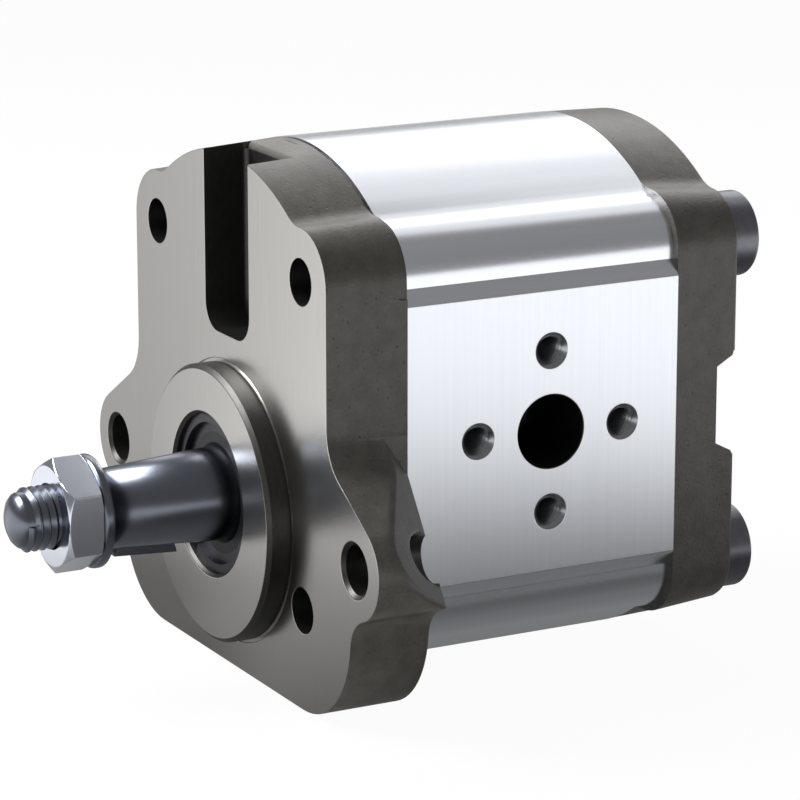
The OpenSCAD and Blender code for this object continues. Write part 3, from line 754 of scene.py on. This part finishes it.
class PUMP_OT_front_cover(Operator):
    """Casts the mounting cover: drafted sides, lugs, pilot, slot, bores and bolt holes"""

    bl_idname = "pump.front_cover"
    bl_label = "Front cover"

    def execute(self, context):
        s = millimetres(settings("pump_covers"))
        bolt = s["bolt_pitch"] / 2
        front = cover_outline(s["crown_front"], s["flank_front"], FACE_CORNER, s)
        back = cover_outline(s["crown_joint"], s["flank_joint"], JOINT_CORNER, s)
        neck = cover_outline(s["crown_joint"] - NECK_INSET, s["flank_joint"], FACE_CORNER, s)
        bm = drawn([front, back, neck, neck], [0, JOINT_1 - NECK_START, JOINT_1 - NECK_END, JOINT_1])
        for face in bm.faces:
            face.material_index = FACED if abs(face.normal.y) > 0.9 else RAW
        cover = loose("front_cover_casting", bm, [rough_iron(), faced_iron(), shaded_drilled_iron()])
        rim = [(PILOT_TIP, PILOT_Y), (PILOT_RADIUS, PILOT_Y + PILOT_CHAMFER), (PILOT_RADIUS, PILOT_ROOT)]
        pilot = turned([(0, PILOT_Y), *rim, (0, PILOT_ROOT)], 0, 128, surface=FACED)
        # The pilot's chamfer and turned side take the darkened drilled iron: painted shade
        for face in pilot.faces:
            if abs(face.normal.y) < 0.9:
                face.material_index = DRILLED_SHADED
        combine(cover, [pilot, flank_step(1, s), flank_step(-1, s)], "UNION")
        groove = [(PILOT_RADIUS, -1), (GROOVE_RADIUS, -1), (GROOVE_RADIUS, GROOVE_DEPTH)]
        groove = [(PILOT_RADIUS, GROOVE_DEPTH), *groove, (PILOT_RADIUS, GROOVE_DEPTH)]
        tools = [slot_cutter(s), slot_edge_cutter(s), turned(groove, 0, 128, surface=FACED)]
        end = JOINT_1 + PAST
        for side in (1, -1):
            tools.append(lug_cutter(side, s))
            tools.append(hole_tool(side * LUG_X, 0, LUG_HOLE, 0, end, LUG_CHAMFER))
            for z in (MID_Z - bolt, MID_Z + bolt):
                tools.append(hole_tool(side * bolt, z, THREAD_HOLE, 0, end))
        mouth = [(0, PILOT_Y - 1), (SEAL_MOUTH, PILOT_Y - 1), (SEAL_BORE, PILOT_Y + 0.6)]
        mouth += [(SEAL_BORE, RING_START), (RING_RADIUS, RING_START), (RING_RADIUS, RING_END)]
        mouth += [(SEAL_BORE, RING_END), (SEAL_BORE, SEAL_FLOOR), (SHAFT_BORE, SEAL_FLOOR)]
        mouth += [(SHAFT_BORE, end), (0, end)]
        # The seal bore and the shaft bore take the darkened drilled iron: painted shade
        tools.append(turned(mouth, DRIVE_Z, surface=DRILLED_SHADED))
        combine(cover, tools)
        tidied(cover)
        round_edges(cover, s["cast_round"], on_lug_slant, 3)
        round_edges(cover, s["deburr"], lambda p: abs(p.y) < 0.02 or abs(p.y - PILOT_Y) < 0.02, 2)
        smoothed(cover)
        dress(cover, "housing", "cast_cover", "front_cover")
        return {"FINISHED"}


class PUMP_OT_rear_cover(Operator):
    """Casts the rear cover: drafted sides, rounded rim, groove across the back and bolt seats"""

    bl_idname = "pump.rear_cover"
    bl_label = "Rear cover"

    def execute(self, context):
        s = millimetres(settings("pump_covers"))
        bolt = s["bolt_pitch"] / 2
        joint = rear_outline(49.25, 40.8, 10.2, bolt)
        rim = [rear_outline(48.9 - inset, 39.8 - inset, 9.3 - inset, bolt) for inset in (0, 0.3, 1.0)]
        casting = drawn([joint, *rim], [JOINT_2, BACK_Y - 1.0, BACK_Y - 0.3, BACK_Y])
        cover = loose("rear_cover_casting", casting, [rough_iron(), faced_iron(), shaded_drilled_iron()])
        floor, low, high, flank, shoulder = BACK_Y - 4.4, MID_Z - 7.0, MID_Z + 7.6, 1.4, 1.6
        lower = filleted((floor, low), (BACK_Y, low - flank), (BACK_Y, low - 20), shoulder)
        upper = filleted((BACK_Y, high + 20), (BACK_Y, high + flank), (floor, high), shoulder)
        open_side = [(BACK_Y + 1, lower[-1][1]), (BACK_Y + 1, high + flank + 1.2)]
        profile = [(floor, low), *lower, *open_side, *upper, (floor, high)]
        combine(cover, [swept([(-60, y, z) for y, z in profile], (120, 0, 0))])
        bottom, end = BACK_Y - SEAT_DEPTH, BACK_Y + PAST
        seat = [(0, bottom), (SEAT_RADIUS, bottom), (SEAT_RADIUS, end), (0, end)]
        tools = []
        for side in (1, -1):
            for z in (MID_Z - bolt, MID_Z + bolt):
                tools.append(hole_tool(side * bolt, z, CLEARANCE, JOINT_2, end))
                tools.append(turned(seat, z, 48, side * bolt, FACED))
        combine(cover, tools)
        tidied(cover)
        round_edges(
            cover, s["deburr"], lambda p: math.hypot(abs(p.x) - bolt, abs(p.z - MID_Z) - bolt) > SEAT_CLEAR, 2
        )
        smoothed(cover)
        dress(cover, "housing", "cast_cover", "rear_cover")
        return {"FINISHED"}


def tapped_tool(side, y, z, face, nominal, pitch):
    """Cutter for a tapped hole in a port face: chamfered mouth, V thread, drill point"""
    outer, inner = nominal / 2, nominal / 2 - 0.6 * pitch
    station = face - TAP_CHAMFER
    profile = [(0, face + 1), (outer + 0.35 + 1, face + 1), (outer - 0.1, station)]
    while station > face - TAP_DEPTH:
        profile += [(inner, station - 0.45 * pitch), (outer, station - pitch)]
        station -= pitch
    profile += [(inner, station - 0.5 * pitch), (inner, station - 2), (0, station - 4)]
    return turned([(r, side * x) for r, x in profile], z, 40, y, TAPPED_SHADED, "X")


class PUMP_OT_body(Operator):
    """Extrudes the body: crowned top and bottom, corner columns, milled port faces and ports"""

    bl_idname = "pump.body"
    bl_label = "Body"

    def execute(self, context):
        s = millimetres(settings("pump_body"))
        bolt = settings("pump_covers").bolt_pitch / MM / 2
        outline = body_outline(s, bolt)
        bm = drawn([outline, outline], [JOINT_1, JOINT_2])
        face_x = s["port_face"]
        for face in bm.faces:
            port = abs(face.normal.x) > 0.999 and abs(face.calc_center_median().x) > face_x - 0.1
            face.material_index = MILLED if port else EXTRUDED
        # Bores, ports and tapped holes take the darkened aluminium: painted shade
        materials = [extruded_aluminium(), milled_aluminium(), tapped_aluminium(), bored_aluminium()]
        body = loose("body_extrusion", bm, materials)
        start, end = JOINT_1 - PAST, JOINT_2 + PAST
        chamber = [(0, start), (CHAMBER_RADIUS, start), (CHAMBER_RADIUS, end), (0, end)]
        tools = [turned(chamber, z, surface=BORED_SHADED) for z in (DRIVE_Z, DRIVEN_Z)]
        for side in (1, -1):
            for z in (MID_Z - bolt, MID_Z + bolt):
                tools.append(hole_tool(side * bolt, z, CLEARANCE, JOINT_1, end, surface=BORED_SHADED))
        for side, port in ((1, "pressure_port"), (-1, "inlet_port")):
            bore, step = MOUNTS[port]["dims"]["r_mm"], face_x - PORT_DEPTH
            profile = [(0, face_x + 1), (bore + PORT_EDGE, face_x + 1), (bore + PORT_EDGE, face_x)]
            profile += [(bore, face_x - PORT_EDGE), (bore, step), (bore - PORT_STEP, step)]
            profile += [(bore - PORT_STEP, PORT_END), (0, PORT_END)]
            tools.append(turned([(r, side * x) for r, x in profile], MID_Z, 96, PORT_Y, BORED_SHADED, "X"))
        for side, port, nominal, pitch in (
            (1, "pressure_port_bolts", 6, 1.0), (-1, "inlet_port_bolts", 8, 1.25)
        ):
            circle = MOUNTS[port]["dims"]["pcd_mm"] / 2
            for y, z in ((circle, 0), (-circle, 0), (0, circle), (0, -circle)):
                tools.append(tapped_tool(side, PORT_Y + y, MID_Z + z, face_x, nominal, pitch))
        combine(body, tools)
        tidied(body)
        round_edges(body, s["deburr"], lambda p: JOINT_1 + 0.1 < p.y < JOINT_2 - 0.1, 2)
        smoothed(body)
        dress(body, "housing", "extruded_body", "pump_body")
        return {"FINISHED"}


class PUMP_OT_body_bolts(Operator):
    """Dresses the four body bolts: low cylinder heads with sockets"""

    bl_idname = "pump.body_bolts"
    bl_label = "Body bolts"

    def execute(self, context):
        bolts = loose("body_screws", cad_copy("body_bolts"), [phosphated_steel()])
        soften(bolts, 0.3)
        dress(bolts, "housing", "dark_steel", "body_bolts")
        return {"FINISHED"}


# The shaft's end: dome, thread, taper and ground seats, as radii and stations in millimetres
THREAD_RADIUS, THREAD_INSET = 6.0, 2.2
DOME = ((0, 0), (1.6, 0.12), (3.1, 0.5), (4.3, 1.1), (5.0, 1.8))
TAPER_TIP = 7.24
GROUND = ((8.8, -2.4), (8.8, 4.6), (8.8, 14.6), (9.0, 15.8), (9.0, 17.0), (0, 17.0))
GEAR_START = 16.5


def threaded(radius, depth, pitch, y0, y1, z):
    """A helical thread about an axis along Y, closed across its two ends"""
    bm = bmesh.new()
    crest, root = radius - 0.06 * pitch, radius - depth
    shape = [(root, 0), (crest, 0.42 * pitch), (crest, 0.54 * pitch), (root, 0.96 * pitch), (root, pitch)]
    verts = [bm.verts.new((r, y0 + y, z)) for r, y in shape]
    edges = [bm.edges.new(pair) for pair in zip(verts, verts[1:])]
    turns = math.ceil((y1 - y0) / pitch)
    bmesh.ops.spin(
        bm, geom=verts + edges, cent=(0, 0, z), axis=(0, 1, 0), dvec=(0, pitch / THREAD_STEPS, 0),
        angle=math.tau * turns, steps=THREAD_STEPS * turns, use_merge=False,
    )
    bmesh.ops.remove_doubles(bm, verts=bm.verts, dist=1e-3)
    bmesh.ops.holes_fill(bm, edges=[e for e in bm.edges if e.is_boundary])
    bmesh.ops.recalc_face_normals(bm, faces=bm.faces)
    return bm


class PUMP_OT_drive_shaft(Operator):
    """Turns the drive shaft's end: domed, threaded, tapered and ground, on the gear's own shaft"""

    bl_idname = "pump.drive_shaft"
    bl_label = "Drive shaft"

    def execute(self, context):
        s = millimetres(settings("pump_shaft"))
        end, seat = box_mm("drive_gear_shaft")[0].y, box_mm("spring_washer")[1].y
        core = THREAD_RADIUS - s["thread_depth"]
        dome = [(radius, end + y) for radius, y in DOME]
        profile = [*dome, (core, end + THREAD_INSET), (core, seat), (TAPER_TIP, seat), *GROUND]
        shaft = turned(profile, DRIVE_Z)
        thread = threaded(
            THREAD_RADIUS, s["thread_depth"], s["thread_pitch"], end + 2.0, seat - 1.0, DRIVE_Z
        )
        inner = cad_copy("drive_gear_shaft")
        trimmed(inner, (0, GEAR_START, 0), (0, -1, 0))
        end_piece = loose("drive_shaft_end", shaft, [ground_steel()])
        for part in (loose("thread", thread), loose("gear", inner)):
            merge(end_piece, part)
        smooth(end_piece, 28)
        dress(end_piece, "drive_train", "bright_steel", "drive_gear_shaft")
        return {"FINISHED"}


class PUMP_OT_nut_and_washer(Operator):
    """Dresses the nut, the spring washer and the key"""

    bl_idname = "pump.nut_and_washer"
    bl_label = "Nut, washer and key"

    def execute(self, context):
        nut = loose("hex_nut", cad_copy("shaft_nut"), [plated_steel()])
        edge_round = settings("pump_shaft").edge_round / MM
        soften(nut, edge_round, angle=20)
        dress(nut, "drive_train", "bright_steel", "shaft_nut")
        washer = loose("split_washer", cad_copy("spring_washer"), [ground_steel()])
        soften(washer, 0.6, 4)
        dress(washer, "drive_train", "bright_steel", "spring_washer")
        key = loose("key", cad_copy("woodruff_key"), [ground_steel()])
        soften(key, edge_round)
        dress(key, "drive_train", "bright_steel", "woodruff_key")
        return {"FINISHED"}


class PUMP_OT_inner_parts(Operator):
    """Gives the pieces inside the pump, and the shaft seal, their metals, rubber and plastic"""

    bl_idname = "pump.inner_parts"
    bl_label = "Inner parts"

    def execute(self, context):
        for name, node in frame["nodes"].items():
            if node.hide_render:
                continue
            node.data.materials.clear()
            node.data.materials.append(self.metal(name))
            for polygon in node.data.polygons:
                polygon.use_smooth = False
        return {"FINISHED"}

    def metal(self, name):
        """The material of a CAD node, from its name"""
        if "backup" in name:
            return filled_plastic()
        if name.endswith("_seal") or name.endswith("_lip"):
            return nitrile_rubber()
        if "bush" in name:
            return bearing_bronze()
        if "block" in name:
            return milled_aluminium()
        # The seal's case and rings take darkened steel: painted shade in the pilot's mouth
        if "case" in name or "ring" in name and "spring" not in name:
            return oiled_steel()
        return ground_steel()


# Stage

CAMERA_PLACE = Vector((604.74, -286.06, 191.14))
CAMERA_AZIMUTH, CAMERA_ELEVATION = 61.97, 14.43
FOCAL_PIXELS, PHOTO_PIXELS = 3749.3, 800
SENSOR = 36
FLOOR_HALF, FLOOR_GAP = 8000, 0.05
# Where the painted shadow that metal sees on the floor fades: from its foot to the open, along Y, and across a
# slanting line
CENTRE_X, CENTRE_Y, NEAR_FLOOR, FAR_FLOOR = 30, 50, 112, 205
FOOT_SPAN, REAR_SPAN = (-30, 60), (-30, 30)
LEFT_WAY, LEFT_SPAN = (-0.47, 0.88, 0), (-10, 8)
CAMERA_SHARE = 0.96


def lamp(name, place, aim, width, height, power):
    """A rectangular soft lamp at a place in millimetres, facing a point"""
    data = bpy.data.lights.new(name, "AREA")
    data.shape = "RECTANGLE"
    data.size, data.size_y = width * MM, height * MM
    data.energy = power
    new = bpy.data.objects.new(name, data)
    bpy.context.scene.collection.objects.link(new)
    new.location = Vector(place) * MM
    new.rotation_euler = (Vector(aim) - Vector(place)).to_track_quat("-Z", "Y").to_euler()
    return new


class PUMP_OT_stage(Operator):
    """Sets the camera, the lamps, the pale floor and the white backdrop"""

    bl_idname = "pump.stage"
    bl_label = "Stage"

    def execute(self, context):
        scene = context.scene
        s = settings("pump_stage")
        data = bpy.data.cameras.new("camera")
        data.sensor_width = SENSOR
        data.lens = FOCAL_PIXELS * data.sensor_width / PHOTO_PIXELS
        data.clip_start, data.clip_end = 0.01, 20
        camera = bpy.data.objects.new("camera", data)
        scene.collection.objects.link(camera)
        a, e = math.radians(CAMERA_AZIMUTH), math.radians(CAMERA_ELEVATION)
        back = Vector((math.sin(a) * math.cos(e), -math.cos(a) * math.cos(e), math.sin(e)))
        camera.location = CAMERA_PLACE * MM
        camera.rotation_euler = (-back).to_track_quat("-Z", "Y").to_euler()
        scene.camera = camera
        scene.view_settings.view_transform = "Standard"
        middle = (0, 20, MID_Z)
        lamp("key_lamp", (-300, -420, 520), middle, 400, 400, s.key)
        lamp("left_card", (-405, 290, 335), (0, 45, 60), 700, 270, s.card)
        lamp("top_card", (-230, 290, 500), (0, 45, 60), 560, 300, s.top)
        fill = lamp("right_fill", (420, 420, 300), middle, 300, 300, s.fill)
        fill.visible_glossy = False
        self.floor(s)
        self.world(s)
        return {"FINISHED"}

    def floor(self, s):
        """A sheet of paper under the pump: lit for the camera; as metal mirrors it, it is dark with painted shadow
        at the pump's foot, has painted shade on the left and is white further out
        """
        bm = bmesh.new()
        bmesh.ops.create_grid(bm, x_segments=1, y_segments=1, size=FLOOR_HALF)
        bmesh.ops.translate(bm, verts=bm.verts, vec=(0, 0, CAD_BOX[0].z / MM - FLOOR_GAP))
        floor = loose("floor", bm)
        material = bpy.data.materials.new("paper_floor")
        material.use_nodes = True
        tree = material.node_tree
        tree.nodes.clear()
        out = tree.nodes.new("ShaderNodeOutputMaterial")
        paper = add(tree, "ShaderNodeBsdfDiffuse", {"Color": (*s.paper, 1)})
        glow = add(tree, "ShaderNodeEmission", {"Color": (1, 1, 1, 1), "Strength": 1.0})
        # Painted shadow: metal sees the floor dark at the object's foot and white further out, as a lit sheet with
        # the object's shadow on it would be
        place = tree.nodes.new("ShaderNodeTexCoord").outputs["Object"]
        centre = {1: (CENTRE_X * MM, CENTRE_Y * MM, 0)}
        away = add(tree, "ShaderNodeVectorMath", centre, {0: place}, operation="DISTANCE").outputs["Value"]
        along = add(tree, "ShaderNodeSeparateXYZ", {}, {0: place}).outputs[0]
        foot = add(
            tree, "ShaderNodeMapRange",
            {"From Min": FOOT_SPAN[0] * MM, "From Max": FOOT_SPAN[1] * MM, "To Min": s.front, "To Max": s.near},
            {"Value": along},
        ).outputs[0]
        foot_shadow = add(
            tree, "ShaderNodeMapRange",
            {"From Min": NEAR_FLOOR * MM, "From Max": FAR_FLOOR * MM, "To Max": s.far},
            {"Value": away, "To Min": foot}, interpolation_type="SMOOTHSTEP",
        ).outputs[0]
        across = add(
            tree, "ShaderNodeVectorMath", {1: LEFT_WAY}, {0: place}, operation="DOT_PRODUCT"
        ).outputs["Value"]
        # Painted shade: metal sees the floor darker on the pump's left
        left = add(
            tree, "ShaderNodeMapRange",
            {"From Min": LEFT_SPAN[0] * MM, "From Max": LEFT_SPAN[1] * MM, "To Min": 1, "To Max": s.left},
            {"Value": across}, interpolation_type="SMOOTHSTEP",
        ).outputs[0]
        right = add(
            tree, "ShaderNodeMapRange", {"From Min": REAR_SPAN[0] * MM, "From Max": REAR_SPAN[1] * MM},
            {"Value": along},
        ).outputs[0]
        side = add(tree, "ShaderNodeMath", {}, {0: left, 1: right}, operation="MAXIMUM").outputs[0]
        level = add(tree, "ShaderNodeMath", {}, {0: foot_shadow, 1: side}, operation="MULTIPLY").outputs[0]
        sheen = add(tree, "ShaderNodeEmission", {"Color": (1, 1, 1, 1)}, {"Strength": level})
        rays = tree.nodes.new("ShaderNodeLightPath").outputs
        share = add(
            tree, "ShaderNodeMath", {1: CAMERA_SHARE}, {0: rays["Is Camera Ray"]}, operation="MULTIPLY"
        ).outputs[0]
        mirrors = {0: rays["Is Glossy Ray"], 1: rays["Is Transmission Ray"]}
        shiny = add(tree, "ShaderNodeMath", {}, mirrors, operation="MAXIMUM").outputs[0]
        seen = add(tree, "ShaderNodeMixShader", {}, {0: share, 1: paper.outputs[0], 2: glow.outputs[0]})
        mixed = add(tree, "ShaderNodeMixShader", {}, {0: shiny, 1: seen.outputs[0], 2: sheen.outputs[0]})
        tree.links.new(mixed.outputs[0], out.inputs["Surface"])
        floor.data.materials.append(material)

    def world(self, s):
        """A backdrop that is white to the camera, and dimmer as light and in mirrors"""
        world = bpy.data.worlds.new("backdrop")
        bpy.context.scene.world = world
        world.use_nodes = True
        tree = world.node_tree
        tree.nodes.clear()
        out = tree.nodes.new("ShaderNodeOutputWorld")
        rays = tree.nodes.new("ShaderNodeLightPath").outputs
        light, sheen, seen = (
            add(tree, "ShaderNodeBackground", {"Color": (*shade, 1), "Strength": strength}).outputs[0]
            for shade, strength in ((s.paper, s.sky), (s.paper, s.sheen), ((1, 1, 1), 1.0))
        )
        lit = add(tree, "ShaderNodeMixShader", {}, {0: rays["Is Glossy Ray"], 1: light, 2: sheen}).outputs[0]
        mixed = add(tree, "ShaderNodeMixShader", {}, {0: rays["Is Camera Ray"], 1: lit, 2: seen})
        tree.links.new(mixed.outputs[0], out.inputs["Surface"])


OPERATORS = (
    PUMP_OT_front_cover, PUMP_OT_body, PUMP_OT_rear_cover, PUMP_OT_body_bolts, PUMP_OT_drive_shaft,
    PUMP_OT_nut_and_washer, PUMP_OT_inner_parts, PUMP_OT_stage,
)
GROUPS = {
    "pump_covers": PumpCovers, "pump_body": PumpBody, "pump_shaft": PumpShaft,
    "pump_finishes": PumpFinishes, "pump_stage": PumpStage,
}


class PUMP_PT_panel(Panel):
    """Lists the pump's pieces in the sidebar"""

    bl_idname = "PUMP_PT_panel"
    bl_label = "Gear Pump"
    bl_space_type = "VIEW_3D"
    bl_region_type = "UI"
    bl_category = "Gear Pump"

    def draw(self, context):
        """One button for each piece and for the stage"""
        for operator in OPERATORS:
            self.layout.operator(operator.bl_idname)


def register():
    """Adds the settings, the operators and the panel"""
    for group in GROUPS.values():
        bpy.utils.register_class(group)
    for name, group in GROUPS.items():
        setattr(bpy.types.Scene, name, PointerProperty(type=group))
    for cls in (*OPERATORS, PUMP_PT_panel):
        bpy.utils.register_class(cls)


def unregister():
    """Takes them away again"""
    for cls in reversed((*OPERATORS, PUMP_PT_panel)):
        bpy.utils.unregister_class(cls)
    for name, group in GROUPS.items():
        delattr(bpy.types.Scene, name)
        bpy.utils.unregister_class(group)


def main():
    """Builds the pump and its stage"""
    register()
    bpy.ops.pump.front_cover()
    bpy.ops.pump.body()
    bpy.ops.pump.rear_cover()
    bpy.ops.pump.body_bolts()
    bpy.ops.pump.drive_shaft()
    bpy.ops.pump.nut_and_washer()
    bpy.ops.pump.inner_parts()
    bpy.ops.pump.stage()


if __name__ == "__main__":
    main()
